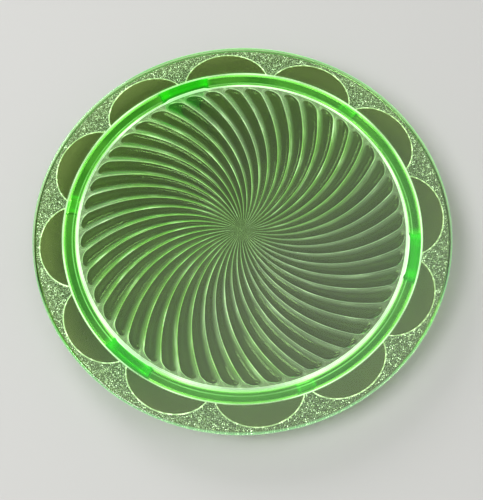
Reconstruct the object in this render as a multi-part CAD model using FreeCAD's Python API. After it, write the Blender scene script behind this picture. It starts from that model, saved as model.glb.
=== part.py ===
"""Footed plate of pressed green uranium glass, modelled as the regions of its pressing.

The plate is flat on top and carries its whole pattern underneath: 48 swirling reeds in the
well, a low foot ring with three tab feet and three small pads, and a flange with twelve clear
lunettes, each bordered by a fine raised line, on a stippled ground. Every region is a closed
solid that meets its neighbours face to face, as the glass does.

Frame: millimetres, +Z up, origin on the table plane at the middle of the plate, +Y through the
first foot.
"""
import FreeCAD
import Part

import math
import os

# ---- driving dimensions, in millimetres and degrees -----------------------------------------
# overall
RIM_RADIUS = 130.0            # outside of the plate
PLATE_HEIGHT = 22.0           # table to the flat top
# plate wall
WELL_THICKNESS = 3.6          # floor of the well, without its reeds
FLANGE_THICKNESS = 4.2        # flange, without its pattern
# foot ring
RING_INNER_RADIUS = 102.5     # where the ring meets the well
RING_WIDTH = 9.0              # from there to the flange
RING_DROP = 4.0               # below the underside of the flange
RING_SHOULDER_DROP = 2.2      # depth at which the ring's sides turn into its round crest
RING_INNER_BATTER = 1.5       # how far the inner side leans in by the shoulder
RING_OUTER_BATTER = 1.1       # and the outer side
# tab feet
FOOT_COUNT = 3
FOOT_TOP_WIDTH = 32.0         # along the ring
FOOT_BOTTOM_WIDTH = 24.0
FOOT_CORNER_RADIUS = 3.5      # rounded lower corners
FOOT_INNER_LEAN = 1.7         # the inner face leans in towards the table
FOOT_SOLE_DEPTH = 4.0         # across the ring, at the table
FOOT_EDGE_HEIGHT = 1.2        # soft edge round the resting face
FOOT_EDGE_INSET = 0.7
# pads midway between the feet
PAD_WIDTH = 10.6              # along the ring
PAD_STAND = 0.6               # below the crest of the ring
PAD_CORNER_RADIUS = 0.6
PAD_SIDE_INSET = 0.4          # each side of the pad behind the ring's shoulder
PAD_BATTER = 1.1              # lean of the pad's sides
# reeds
REED_COUNT = 48
REED_GROUPS = 12              # one group of neighbouring reeds to each lunette
REED_TURN = 40.7              # degrees that a reed turns from the middle to its end
REED_START_RADIUS = 7.0
REED_END_GAP = 2.1            # plain band between the reed ends and the ring
REED_DEPTH_RATIO = 0.15       # depth over pitch, measured square to the reed
REED_VALLEY_SHARE = 0.05      # part of the pitch left as the valley
REED_NOSE_RATIO = 0.55        # length of the round nose over the pitch
REED_STATIONS = 14            # cross-sections along the straight part of a reed
REED_NOSE_TRAVEL = (0.3, 0.55, 0.75, 0.9, 0.985)   # and along its nose, as shares of the nose
# plain spot in the middle
SPOT_CLEARANCE = 0.8          # between the spot and the reed tips
SPOT_THICKNESS = 0.3
# lunettes
LUNETTE_COUNT = 12
LUNETTE_SPACING = 1.7         # between the ellipses that bound two neighbouring lunettes
LUNETTE_CENTRE_INSET = 7.5    # centres of those ellipses, inside the ring's outer radius
LUNETTE_RIM_MARGIN = 4.2      # from the crest of a lunette to the rim
LINE_WIDTH = 0.8              # raised line round a lunette
LINE_HEIGHT = 0.45
# rim
RIM_WIDTH = 2.0
RIM_STAND = 0.3               # bead below the underside of the flange
RIM_ROUND = 1.1               # width of the rounded edge

# ---- places worked out from them --------------------------------------------------------------
WELL_UNDERSIDE = PLATE_HEIGHT - WELL_THICKNESS
FLANGE_UNDERSIDE = PLATE_HEIGHT - FLANGE_THICKNESS
RING_OUTER_RADIUS = RING_INNER_RADIUS + RING_WIDTH
RING_SHOULDER = FLANGE_UNDERSIDE - RING_SHOULDER_DROP
RING_CREST = FLANGE_UNDERSIDE - RING_DROP
RING_SHOULDER_INNER = RING_INNER_RADIUS + RING_INNER_BATTER
RING_SHOULDER_OUTER = RING_OUTER_RADIUS - RING_OUTER_BATTER
RING_MIDDLE = (RING_SHOULDER_INNER + RING_SHOULDER_OUTER) / 2
FOOT_SOLE_INNER = RING_SHOULDER_INNER - FOOT_INNER_LEAN
FOOT_SOLE_OUTER = FOOT_SOLE_INNER + FOOT_SOLE_DEPTH
REED_END_RADIUS = RING_INNER_RADIUS - REED_END_GAP
SPOT_RADIUS = REED_START_RADIUS - SPOT_CLEARANCE
RIM_INNER_RADIUS = RIM_RADIUS - RIM_WIDTH
LUNETTE_CENTRE_RADIUS = RING_OUTER_RADIUS - LUNETTE_CENTRE_INSET
LUNETTE_CREST_RADIUS = RIM_RADIUS - LUNETTE_RIM_MARGIN
FOOT_STEP = 360.0 / FOOT_COUNT
LUNETTE_STEP = 360.0 / LUNETTE_COUNT
HALF_LUNETTE_STEP = math.radians(LUNETTE_STEP / 2)
LUNETTE_HALF_WIDTH = (LUNETTE_CENTRE_RADIUS * math.tan(HALF_LUNETTE_STEP)
                      - LUNETTE_SPACING / 2 / math.cos(HALF_LUNETTE_STEP))
FIRST_FOOT_ANGLE = 90.0
FIRST_PAD_ANGLE = FIRST_FOOT_ANGLE + FOOT_STEP / 2
FIRST_LUNETTE_ANGLE = FIRST_FOOT_ANGLE + LUNETTE_STEP / 2

Z_AXIS = FreeCAD.Vector(0, 0, 1)
ORIGIN = FreeCAD.Vector(0, 0, 0)


def side(radius, height):
    """A point of a profile, in the plane through the axis of the plate and +X."""
    return FreeCAD.Vector(radius, 0, height)


def turned(shape, degrees):
    """A copy of the shape, turned about the axis of the plate."""
    copy = shape.copy()
    copy.rotate(ORIGIN, Z_AXIS, degrees)
    return copy


def closed_profile(points, arcs=None):
    """A face through the points; arcs maps the index of a point to the middle of its arc."""
    arcs = arcs or {}
    edges = []
    for index, start in enumerate(points):
        end = points[(index + 1) % len(points)]
        if index in arcs:
            edges.append(Part.Arc(start, arcs[index], end).toShape())
        else:
            edges.append(Part.LineSegment(start, end).toShape())
    return Part.Face(Part.Wire(edges))


def ring_solid(profile):
    """The profile turned all the way round the axis."""
    return profile.revolve(ORIGIN, Z_AXIS, 360.0)


# ---- well -------------------------------------------------------------------------------------
def well_disc():
    """The flat floor of the well."""
    return Part.makeCylinder(RING_INNER_RADIUS, WELL_THICKNESS, side(0, WELL_UNDERSIDE))


def centre_spot():
    """The plain spot under the middle of the well, where the reeds die out."""
    return Part.makeCylinder(SPOT_RADIUS, SPOT_THICKNESS, side(0, WELL_UNDERSIDE - SPOT_THICKNESS))


def reed_angle(radius):
    """Turn, in degrees, of a reed's middle line at this radius."""
    return REED_TURN * radius / REED_END_RADIUS


def reed_lean(radius):
    """Angle, in radians, between a reed's middle line and the radius."""
    return math.atan(math.radians(reed_angle(radius)))


def reed_pitch(radius):
    """Distance between neighbouring reeds, measured square to them."""
    return 2 * math.pi * radius / REED_COUNT * math.cos(reed_lean(radius))


def reed_section(radius, share):
    """A cross-section of a reed: flat against the well, round below. Share narrows the nose."""
    middle_angle = math.radians(reed_angle(radius))
    middle = FreeCAD.Vector(radius * math.cos(middle_angle), radius * math.sin(middle_angle), WELL_UNDERSIDE)
    square_angle = middle_angle + reed_lean(radius) + math.pi / 2
    across = FreeCAD.Vector(math.cos(square_angle), math.sin(square_angle), 0)
    half_width = reed_pitch(radius) * (1 - REED_VALLEY_SHARE) / 2 * share
    left = middle - across * half_width
    right = middle + across * half_width
    lowest = middle - Z_AXIS * (reed_pitch(radius) * REED_DEPTH_RATIO * share)
    return Part.Wire([Part.LineSegment(left, right).toShape(), Part.Arc(right, lowest, left).toShape()])


def reed():
    """One reed, from its fine tip near the centre to its round nose at the plain band."""
    nose = reed_pitch(REED_END_RADIUS) * REED_NOSE_RATIO * math.cos(reed_lean(REED_END_RADIUS))
    shoulder = REED_END_RADIUS - nose
    step = (shoulder - REED_START_RADIUS) / (REED_STATIONS - 1)
    sections = [reed_section(REED_START_RADIUS + index * step, 1.0) for index in range(REED_STATIONS)]
    for travel in REED_NOSE_TRAVEL:
        sections.append(reed_section(shoulder + travel * nose, math.sqrt(1 - travel * travel)))
    return Part.makeLoft(sections, True, False)


def reed_group(first_reed, template):
    """Neighbouring reeds that belong to one lunette, as separate solids."""
    per_group = REED_COUNT // REED_GROUPS
    step = 360.0 / REED_COUNT
    return Part.Compound([turned(template, (first_reed + index + 0.5) * step) for index in range(per_group)])


# ---- foot ring, feet and pads -------------------------------------------------------------------
def foot_ring_blank():
    """The foot ring with the plate above it, before the feet and pads take their places."""
    points = [side(RING_INNER_RADIUS, PLATE_HEIGHT), side(RING_OUTER_RADIUS, PLATE_HEIGHT),
              side(RING_OUTER_RADIUS, FLANGE_UNDERSIDE), side(RING_SHOULDER_OUTER, RING_SHOULDER),
              side(RING_SHOULDER_INNER, RING_SHOULDER), side(RING_INNER_RADIUS, WELL_UNDERSIDE)]
    return ring_solid(closed_profile(points, {3: side(RING_MIDDLE, RING_CREST)}))


def tab_block(top_width, bottom_width, bottom, corner):
    """A block across the ring, under its shoulder: its ends draw in and its low corners are round."""
    half_top, half_bottom = top_width / 2, bottom_width / 2
    inner, depth = RING_INNER_RADIUS / 2, RIM_RADIUS - RING_INNER_RADIUS / 2
    lean = math.atan2(half_top - half_bottom, RING_SHOULDER - bottom)
    reach = corner * math.tan((math.pi / 2 - lean) / 2)
    along = FreeCAD.Vector(0, math.sin(lean), math.cos(lean))

    def end_points(sign):
        corner_point = FreeCAD.Vector(inner, sign * half_bottom, bottom)
        slope = FreeCAD.Vector(0, sign * along.y, along.z)
        centre = corner_point + FreeCAD.Vector(0, -sign * reach, corner)
        to_corner = (corner_point - centre).normalize()
        return (corner_point + slope * reach, centre + to_corner * corner,
                corner_point + FreeCAD.Vector(0, -sign * reach, 0))

    high_a, mid_a, low_a = end_points(1)
    high_b, mid_b, low_b = end_points(-1)
    points = [FreeCAD.Vector(inner, -half_top, RING_SHOULDER), FreeCAD.Vector(inner, half_top, RING_SHOULDER),
              high_a, low_a, low_b, high_b]
    face = closed_profile(points, {2: mid_a, 4: mid_b})
    return face.extrude(FreeCAD.Vector(depth, 0, 0))


def foot():
    """One tab foot along +X: its flat top seats on the ring, and its soft-edged bottom on the table."""
    edge_share = FOOT_EDGE_HEIGHT / RING_SHOULDER
    lean_out = (RING_SHOULDER_OUTER - FOOT_SOLE_OUTER) * edge_share
    lean_in = FOOT_INNER_LEAN * edge_share
    points = [side(RING_SHOULDER_INNER, RING_SHOULDER), side(RING_SHOULDER_OUTER, RING_SHOULDER),
              side(FOOT_SOLE_OUTER + lean_out, FOOT_EDGE_HEIGHT),
              side(FOOT_SOLE_OUTER - FOOT_EDGE_INSET, 0), side(FOOT_SOLE_INNER + FOOT_EDGE_INSET, 0),
              side(FOOT_SOLE_INNER + lean_in, FOOT_EDGE_HEIGHT)]
    block = tab_block(FOOT_TOP_WIDTH, FOOT_BOTTOM_WIDTH, 0.0, FOOT_CORNER_RADIUS)
    return ring_solid(closed_profile(points)).common(block)


def pad():
    """One small pad along +X, standing just proud of the crest of the ring."""
    inner, outer = RING_SHOULDER_INNER + PAD_SIDE_INSET, RING_SHOULDER_OUTER - PAD_SIDE_INSET
    bottom = RING_CREST - PAD_STAND
    points = [side(inner, RING_SHOULDER), side(outer, RING_SHOULDER),
              side(outer - PAD_BATTER, bottom), side(inner + PAD_BATTER, bottom)]
    return ring_solid(closed_profile(points)).common(pad_block())


def pad_block():
    """The block that a pad fills in the ring."""
    bottom = RING_CREST - PAD_STAND
    return tab_block(PAD_WIDTH, PAD_WIDTH - 2 * PAD_BATTER, bottom, PAD_CORNER_RADIUS)


def foot_ring():
    """The foot ring, cut back to its shoulder where a foot or a pad takes its place."""
    foot_block = tab_block(FOOT_TOP_WIDTH, FOOT_BOTTOM_WIDTH, 0.0, FOOT_CORNER_RADIUS)
    places = []
    for index in range(FOOT_COUNT):
        places.append(turned(foot_block, FIRST_FOOT_ANGLE + index * FOOT_STEP))
        places.append(turned(pad_block(), FIRST_PAD_ANGLE + index * FOOT_STEP))
    return foot_ring_blank().cut(places)


# ---- flange -------------------------------------------------------------------------------------
def annulus(inner, outer, bottom, thickness):
    """A flat ring."""
    outside = Part.makeCylinder(outer, thickness, side(0, bottom))
    return outside.cut(Part.makeCylinder(inner, thickness, side(0, bottom)))


def lunette_prism(growth, bottom, thickness):
    """The elliptical prism that bounds a lunette along +X, grown or shrunk all round."""
    radial = LUNETTE_CREST_RADIUS - LUNETTE_CENTRE_RADIUS + growth
    tangential = LUNETTE_HALF_WIDTH + growth
    centre = side(LUNETTE_CENTRE_RADIUS, bottom)
    if tangential > radial:
        ellipse = Part.Ellipse(centre, tangential, radial)
        ellipse.Axis = Z_AXIS
        ellipse.XAxis = FreeCAD.Vector(0, 1, 0)
    else:
        ellipse = Part.Ellipse(centre, radial, tangential)
    return Part.Face(Part.Wire(ellipse.toShape())).extrude(Z_AXIS * thickness)


def flange_blank():
    """The flat flange between the ring and the rim."""
    return annulus(RING_OUTER_RADIUS, RIM_INNER_RADIUS, FLANGE_UNDERSIDE, FLANGE_THICKNESS)


def lunette_panel():
    """One clear lunette along +X, through the thickness of the flange."""
    return flange_blank().common(lunette_prism(0.0, FLANGE_UNDERSIDE, FLANGE_THICKNESS))


def lunette_line():
    """The fine raised line under the edge of one lunette along +X."""
    bottom = FLANGE_UNDERSIDE - LINE_HEIGHT
    band = annulus(RING_OUTER_RADIUS, RIM_INNER_RADIUS, bottom, LINE_HEIGHT)
    outside = lunette_prism(LINE_WIDTH / 2, bottom, LINE_HEIGHT)
    inside = lunette_prism(-LINE_WIDTH / 2, bottom, LINE_HEIGHT)
    return band.common(outside.cut(inside))


def stippled_ground():
    """The flange around the lunettes, whose underside carries the stipple."""
    prism = lunette_prism(0.0, FLANGE_UNDERSIDE, FLANGE_THICKNESS)
    angles = [FIRST_LUNETTE_ANGLE + index * LUNETTE_STEP for index in range(LUNETTE_COUNT)]
    return flange_blank().cut([turned(prism, angle) for angle in angles])


def rim_bead():
    """The fire-polished rim, round outside and a little proud of the underside."""
    bottom = FLANGE_UNDERSIDE - RIM_STAND
    shoulder = RIM_RADIUS - RIM_ROUND
    points = [side(RIM_INNER_RADIUS, PLATE_HEIGHT), side(shoulder, PLATE_HEIGHT),
              side(shoulder, bottom), side(RIM_INNER_RADIUS, bottom)]
    return ring_solid(closed_profile(points, {1: side(RIM_RADIUS, (PLATE_HEIGHT + bottom) / 2)}))


# ---- nodes --------------------------------------------------------------------------------------
def build_nodes():
    """Every node of the plate, by name."""
    nodes = {
        "well_disc": well_disc(),
        "centre_spot": centre_spot(),
        "foot_ring": foot_ring(),
        "stippled_ground": stippled_ground(),
        "rim_bead": rim_bead(),
    }
    one_reed = reed()
    for group in range(REED_GROUPS):
        first_reed = group * REED_COUNT // REED_GROUPS
        nodes["swirl_reeds_%02d" % (group + 1)] = reed_group(first_reed, one_reed)
    one_foot, one_pad = foot(), pad()
    for index in range(FOOT_COUNT):
        nodes["foot_%d" % (index + 1)] = turned(one_foot, FIRST_FOOT_ANGLE + index * FOOT_STEP)
        nodes["ring_pad_%d" % (index + 1)] = turned(one_pad, FIRST_PAD_ANGLE + index * FOOT_STEP)
    one_panel, one_line = lunette_panel(), lunette_line()
    for index in range(LUNETTE_COUNT):
        angle = FIRST_LUNETTE_ANGLE + index * LUNETTE_STEP
        nodes["lunette_panel_%02d" % (index + 1)] = turned(one_panel, angle)
        nodes["lunette_line_%02d" % (index + 1)] = turned(one_line, angle)
    return nodes


os.makedirs("parts", exist_ok=True)
for node_name, node_shape in build_nodes().items():
    node_shape.exportStep("parts/%s.step" % node_name)
    print("%-20s %2d solids  %10.1f mm3" % (node_name, len(node_shape.Solids), node_shape.Volume))
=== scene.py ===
"""Looks of a footed plate of pressed green uranium glass.

The plate is one pressing, so its glass is one closed shell: a flat top, 48 swirling reeds under
the well, a low foot ring with three tab feet and three small pads, and a clear flange. Only the
raised lines round the lunettes and the grains of the stippled ground are pieces of their own
under it. All sizes are metres in the frame's own axes: +Z up, origin on the table under the
middle of the plate.
"""

import logging
import math
from dataclasses import dataclass, field
from enum import Enum
from functools import reduce
from typing import Any, Callable, Iterable, Sequence

import bmesh
import bpy
from mathutils import Matrix, Vector


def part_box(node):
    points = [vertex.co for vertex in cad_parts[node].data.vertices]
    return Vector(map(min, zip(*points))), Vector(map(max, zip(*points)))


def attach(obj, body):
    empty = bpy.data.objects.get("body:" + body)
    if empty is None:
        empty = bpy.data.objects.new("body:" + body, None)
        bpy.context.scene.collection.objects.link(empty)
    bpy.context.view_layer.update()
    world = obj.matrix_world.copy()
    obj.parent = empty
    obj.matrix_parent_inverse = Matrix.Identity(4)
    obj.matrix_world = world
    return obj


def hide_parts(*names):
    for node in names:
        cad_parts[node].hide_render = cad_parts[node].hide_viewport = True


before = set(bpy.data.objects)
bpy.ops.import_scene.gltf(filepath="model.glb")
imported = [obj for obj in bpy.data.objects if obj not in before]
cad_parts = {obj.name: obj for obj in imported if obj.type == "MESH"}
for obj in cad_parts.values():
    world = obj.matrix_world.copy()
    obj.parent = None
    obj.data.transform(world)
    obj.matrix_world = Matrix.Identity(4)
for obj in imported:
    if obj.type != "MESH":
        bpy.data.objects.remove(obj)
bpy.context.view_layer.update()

logging.basicConfig(level=logging.INFO, format="%(levelname)s %(message)s")
LOG = logging.getLogger("plate")

MM = 0.001
BODY = "root"
FULL_TURN = 2 * math.pi
LUNETTE_INSET = 7.5 * MM
LUNETTE_MARGIN = 4.2 * MM
LUNETTE_SPACING = 1.7 * MM
GLASS_GAP = 0.012 * MM
LEVEL_TOLERANCE = 0.02 * MM
Point2 = tuple[float, float]
Colour = tuple[float, float, float]


class Slot(Enum):
    """Material slots of the record; the pieces here build their own finishes and don't use them."""

    CLEAR = "clear_green_glass"
    DEEP = "deep_green_glass"
    STIPPLED = "stippled_green_glass"


class Socket(Enum):
    """Kinds of input that a Geometry Nodes tree asks for."""

    FLOAT = "NodeSocketFloat"
    INT = "NodeSocketInt"
    MATERIAL = "NodeSocketMaterial"
    GEOMETRY = "NodeSocketGeometry"


# ---- sizes read from the frame -------------------------------------------------------------------
def nodes_called(*starts: str) -> list[str]:
    """Names of the CAD nodes that begin with any of the given words, in order."""
    return sorted(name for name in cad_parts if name.startswith(starts))


def radius_of(node: str) -> float:
    """Outer radius of a round CAD node that is centred on the axis.

    Args:
        node: name of the CAD node.

    Returns:
        Half of the node's extent along X.
    """
    low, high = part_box(node)
    return (high.x - low.x) / 2


@dataclass(frozen=True)
class PlateSizes:
    """Heights and radii that the pieces share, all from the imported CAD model."""

    top: float
    well_underside: float
    flange_underside: float
    ring_crest: float
    ring_inner: float
    ring_outer: float
    flange_outer: float
    rim: float
    rim_underside: float
    reed_end: float
    reed_start: float

    @classmethod
    def from_frame(cls) -> "PlateSizes":
        """Reads the sizes off the boxes of the CAD nodes.

        Returns:
            The plate's sizes in metres.
        """
        well_low, well_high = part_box("well_disc")
        reeds = (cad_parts[name].data for name in nodes_called("swirl_reeds"))
        reed_reach = max(vertex.co.xy.length for mesh in reeds for vertex in mesh.vertices)
        return cls(
            top=well_high.z,
            well_underside=well_low.z,
            flange_underside=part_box("stippled_ground")[0].z,
            ring_crest=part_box("foot_ring")[0].z,
            ring_inner=radius_of("well_disc"),
            ring_outer=radius_of("foot_ring"),
            flange_outer=radius_of("stippled_ground"),
            rim=radius_of("rim_bead"),
            rim_underside=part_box("rim_bead")[0].z,
            reed_end=reed_reach,
            reed_start=radius_of("centre_spot"),
        )


# ---- rules that the pieces and the glass share ---------------------------------------------------
@dataclass(frozen=True)
class LunetteRule:
    """Where the clear lunettes of the flange lie: ellipses on a circle.

    Each field is a number, or the socket that gives that number inside a node tree.
    """

    count: Any
    centre_radius: Any
    radial: Any
    tangential: Any
    first_angle: Any

    @classmethod
    def from_frame(cls, sizes: PlateSizes) -> "LunetteRule":
        """Works the ellipses out from the ring, the rim and the number of lunettes.

        Args:
            sizes: the plate's shared sizes.

        Returns:
            The rule of the lunettes.
        """
        count = len(nodes_called("lunette_panel"))
        half_step = math.pi / count
        centre = sizes.ring_outer - LUNETTE_INSET
        return cls(
            count=count,
            centre_radius=centre,
            radial=sizes.rim - LUNETTE_MARGIN - centre,
            tangential=centre * math.tan(half_step) - LUNETTE_SPACING / 2 / math.cos(half_step),
            first_angle=math.pi / 2 + half_step,
        )


@dataclass(frozen=True)
class ReedPattern:
    """The numbers of the swirling reeds, or the sockets that give them inside a node tree."""

    end_radius: Any
    count: Any
    turn: Any
    nose: Any


@dataclass(frozen=True)
class FootPattern:
    """The numbers that the glass needs to find the places over the feet or over the pads."""

    count: int
    first_angle: float
    middle: float
    half_width: float
    inner: float
    outer: float


# ---- node trees ----------------------------------------------------------------------------------
class NodeTree:
    """Short names for the nodes that materials and Geometry Nodes trees have in common."""

    def __init__(self, tree: bpy.types.NodeTree) -> None:
        """Keeps the tree that the nodes go in."""
        self.tree = tree

    def node(self, kind: str, **settings: Any) -> bpy.types.Node:
        """Adds a node and sets its own options, such as its operation or mode."""
        made = self.tree.nodes.new(kind)
        for key, value in settings.items():
            setattr(made, key, value)
        return made

    def feed(self, socket: Any, value: Any) -> None:
        """Links a socket to another, or sets it to a plain value."""
        if isinstance(value, bpy.types.NodeSocket):
            self.tree.links.new(value, socket)
        else:
            socket.default_value = value

    def fed(self, kind: str, inputs: dict[Any, Any], **settings: Any) -> bpy.types.Node:
        """Adds a node and feeds its inputs.

        Args:
            kind: identifier of the node type.
            inputs: value or socket for each input, by the input's name or number.
            settings: the node's own options.

        Returns:
            The new node.
        """
        made = self.node(kind, **settings)
        for key, value in inputs.items():
            self.feed(made.inputs[key], value)
        return made

    def math(self, operation: str, *operands: Any) -> Any:
        """Adds a Math node on sockets and numbers, and returns its result."""
        return self.fed("ShaderNodeMath", dict(enumerate(operands)), operation=operation).outputs[0]

    def times(self, *factors: Any) -> Any:
        """The product of sockets and numbers."""
        return reduce(lambda first, second: self.math("MULTIPLY", first, second), factors)

    def most(self, *values: Any) -> Any:
        """The largest of sockets and numbers."""
        return reduce(lambda first, second: self.math("MAXIMUM", first, second), values)

    def less(self, first: Any, second: Any) -> Any:
        """One value less another."""
        return self.math("SUBTRACT", first, second)

    def over(self, first: Any, second: Any) -> Any:
        """One value over another."""
        return self.math("DIVIDE", first, second)

    def squares(self, first: Any, second: Any) -> Any:
        """The sum of two squares."""
        return self.math("MULTIPLY_ADD", first, first, self.times(second, second))

    def vector(self, x: Any, y: Any, z: Any) -> Any:
        """Joins three numbers into a vector socket."""
        return self.fed("ShaderNodeCombineXYZ", {0: x, 1: y, 2: z}).outputs[0]

    def parts(self, place: Any) -> tuple[Any, Any, Any]:
        """The x, y and z of a place."""
        return tuple(self.fed("ShaderNodeSeparateXYZ", {0: place}).outputs)

    def polar(self, x: Any, y: Any) -> tuple[Any, Any]:
        """The radius and the turn of a place."""
        return self.math("SQRT", self.squares(x, y)), self.math("ARCTAN2", y, x)

    def from_nearest(self, turn: Any, first: Any, count: Any) -> Any:
        """Angle of a place from the nearest of some that are spaced evenly round the axis.

        Args:
            turn: angle of the place.
            first: angle of the first of them.
            count: how many there are.

        Returns:
            The angle, below 0 on one side.
        """
        step = self.over(FULL_TURN, count)
        half = self.times(step, 0.5)
        shifted = self.math("ADD", self.less(turn, first), half)
        return self.less(self.math("FLOORED_MODULO", shifted, step), half)

    def lunette_reach(self, radius: Any, turn: Any, rule: LunetteRule) -> Any:
        """How far a place is from the middle of the nearest lunette.

        Args:
            radius: radius of the place.
            turn: angle of the place.
            rule: where the lunettes lie.

        Returns:
            The square of the distance, which is 1 on the lunette's ellipse.
        """
        local = self.from_nearest(turn, rule.first_angle, rule.count)
        along = self.less(self.times(radius, self.math("COSINE", local)), rule.centre_radius)
        across = self.times(radius, self.math("SINE", local))
        return self.squares(self.over(along, rule.radial), self.over(across, rule.tangential))

    def on_reed(self, radius: Any, turn: Any, reeds: ReedPattern) -> tuple[Any, Any, Any]:
        """Where a place lies on its reed.

        Args:
            radius: radius of the place.
            turn: angle of the place.
            reeds: the reeds' numbers.

        Returns:
            How far it is across, from -1 to 1; how far along the nose, from 0 to 1; the swirl there.
        """
        swirl = self.over(self.times(reeds.turn, radius), reeds.end_radius)
        phase = self.over(self.times(self.less(turn, swirl), reeds.count), FULL_TURN)
        across = self.math("MULTIPLY_ADD", self.math("FRACT", phase), 2.0, -1.0)
        travel = self.over(self.less(radius, self.less(reeds.end_radius, reeds.nose)), reeds.nose)
        return across, self.most(travel, 0.0), swirl


class Graph(NodeTree):
    """A Geometry Nodes tree that is built one node at a time and run once on a mesh."""

    def __init__(self, name: str) -> None:
        """Starts an empty tree of this name."""
        super().__init__(bpy.data.node_groups.new(name, "GeometryNodeTree"))
        for side in ("INPUT", "OUTPUT"):
            self.tree.interface.new_socket("Geometry", in_out=side, socket_type=Socket.GEOMETRY.value)
        self.inputs = self.tree.nodes.new("NodeGroupInput")
        self.defaults: dict[str, Any] = {}

    def ask(self, name: str, value: Any, kind: Socket = Socket.FLOAT) -> Any:
        """Adds a named input to the tree.

        Args:
            name: the input's name.
            value: what it is set to when the tree is run.
            kind: what it holds.

        Returns:
            The socket that gives the input's value inside the tree.
        """
        self.tree.interface.new_socket(name, in_out="INPUT", socket_type=kind.value)
        self.defaults[name] = value
        return self.inputs.outputs[name]

    def ask_lunettes(self, rule: LunetteRule, clearance: float = 0.0) -> LunetteRule:
        """Adds named inputs for where the lunettes lie.

        Args:
            rule: the numbers of the lunettes.
            clearance: how much wider all round their ellipses are taken to be.

        Returns:
            The rule, with sockets in place of its numbers.
        """
        return LunetteRule(
            count=self.ask("Lunette Count", rule.count, Socket.INT),
            centre_radius=self.ask("Lunette Centre Radius", rule.centre_radius),
            radial=self.ask("Lunette Radial Half Size", rule.radial + clearance),
            tangential=self.ask("Lunette Tangential Half Size", rule.tangential + clearance),
            first_angle=self.ask("First Lunette", rule.first_angle),
        )

    def position(self) -> tuple[Any, Any, Any]:
        """The x, y and z of each point."""
        return self.parts(self.node("GeometryNodeInputPosition").outputs[0])

    def lifted(self, geometry: Any, rise: Any) -> Any:
        """Moves every point up by a height that may differ from point to point."""
        offset = self.vector(0.0, 0.0, rise)
        return self.fed("GeometryNodeSetPosition", {"Geometry": geometry, "Offset": offset}).outputs[0]

    def close(self, geometry: Any, material: bpy.types.Material) -> None:
        """Ends the tree: instances are realised and the material is set.

        Args:
            geometry: socket with what was made.
            material: finish of the whole result.
        """
        wanted = self.ask("Material", material, Socket.MATERIAL)
        real = self.fed("GeometryNodeRealizeInstances", {0: geometry})
        smooth = self.fed("GeometryNodeSetShadeSmooth", {"Geometry": real.outputs[0]})
        dress = self.fed("GeometryNodeSetMaterial", {"Geometry": smooth.outputs[0], "Material": wanted})
        self.fed("NodeGroupOutput", {0: dress.outputs[0]})

    def run(self, name: str, base: bpy.types.Mesh) -> bpy.types.Object:
        """Runs the tree on a mesh and keeps the result as a plain mesh.

        Args:
            name: name of the finished piece.
            base: mesh that the tree starts from.

        Returns:
            A new object at the origin, with no modifier left.
        """
        piece = bpy.data.objects.new(name, base)
        bpy.context.scene.collection.objects.link(piece)
        modifier = piece.modifiers.new(name, "NODES")
        modifier.node_group = self.tree
        for item in self.tree.interface.items_tree:
            if item.item_type == "SOCKET" and item.in_out == "INPUT" and item.name in self.defaults:
                modifier[item.identifier] = self.defaults[item.name]
        bpy.context.view_layer.update()
        evaluated = piece.evaluated_get(bpy.context.evaluated_depsgraph_get())
        plain = bpy.data.meshes.new_from_object(evaluated)
        piece.modifiers.clear()
        piece.data = plain
        plain.name = name
        return piece


@dataclass(frozen=True)
class Patches:
    """A soft noise pattern: its size, and the values that it is spread between."""

    scale: float
    low: float
    high: float
    start: float = 0.0
    end: float = 1.0
    detail: float = 2.0


class ShaderGraph(NodeTree):
    """The nodes of one material or of the surroundings."""

    def __init__(self, owner: bpy.types.Material | bpy.types.World) -> None:
        """Empties the tree of a material or world."""
        owner.use_nodes = True
        super().__init__(owner.node_tree)
        self.tree.nodes.clear()

    def place(self) -> Any:
        """Where a point of the surface is, in the plate's own axes."""
        return self.node("ShaderNodeTexCoord").outputs["Object"]

    def ramp(self, value: Any, low: float, high: float, start: float = 0.0, end: float = 1.0) -> Any:
        """Maps a value smoothly from low and high to start and end, and holds it beyond."""
        inputs = {"Value": value, "From Min": low, "From Max": high, "To Min": start, "To Max": end}
        return self.fed("ShaderNodeMapRange", inputs, interpolation_type="SMOOTHSTEP").outputs[0]

    def fall(self, value: Any, low: float, high: float) -> Any:
        """1 below low, 0 above high, with a smooth run between."""
        return self.ramp(value, low, high, 1.0, 0.0)

    def band(self, value: Any, low: float, high: float, soft: float) -> Any:
        """1 between two values and 0 outside, with soft ends."""
        rise = self.ramp(value, low - soft, low + soft)
        return self.times(rise, self.fall(value, high - soft, high + soft))

    def noise(self, place: Any, scale: float, detail: float = 2.0) -> Any:
        """A noise pattern on a place."""
        inputs = {"Vector": place, "Scale": scale, "Detail": detail}
        return self.fed("ShaderNodeTexNoise", inputs).outputs["Fac"]

    def patches(self, place: Any, patches: Patches) -> Any:
        """A noise pattern on a place, spread between two values."""
        noise = self.noise(place, patches.scale, patches.detail)
        return self.ramp(noise, patches.low, patches.high, patches.start, patches.end)

    def blend(self, share: Any, first: Any, second: Any) -> Any:
        """Mixes two colours, each a socket or a plain colour, by a share."""
        first, second = ((*value, 1.0) if isinstance(value, tuple) else value for value in (first, second))
        return self.fed("ShaderNodeMix", {0: share, 6: first, 7: second}, data_type="RGBA").outputs[2]

    def finish(self, kind: str, surface: Any, volume: Any = None) -> None:
        """Ends the tree.

        Args:
            kind: identifier of the output node.
            surface: the surface's shader.
            volume: the shader of the space inside, where there is one.
        """
        out = self.fed(kind, {"Surface": surface})
        if volume is not None:
            self.feed(out.inputs["Volume"], volume)


# ---- finishes ------------------------------------------------------------------------------------
@dataclass(frozen=True)
class Spot:
    """Sockets that say where a point of the glass is."""

    place: Any
    z: Any
    radius: Any
    turn: Any
    # painted light: y less x, a fixed slope across the plate; painted highlights and glow are stronger towards
    # its high side, as if lit from there
    painted_light_side: Any


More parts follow.
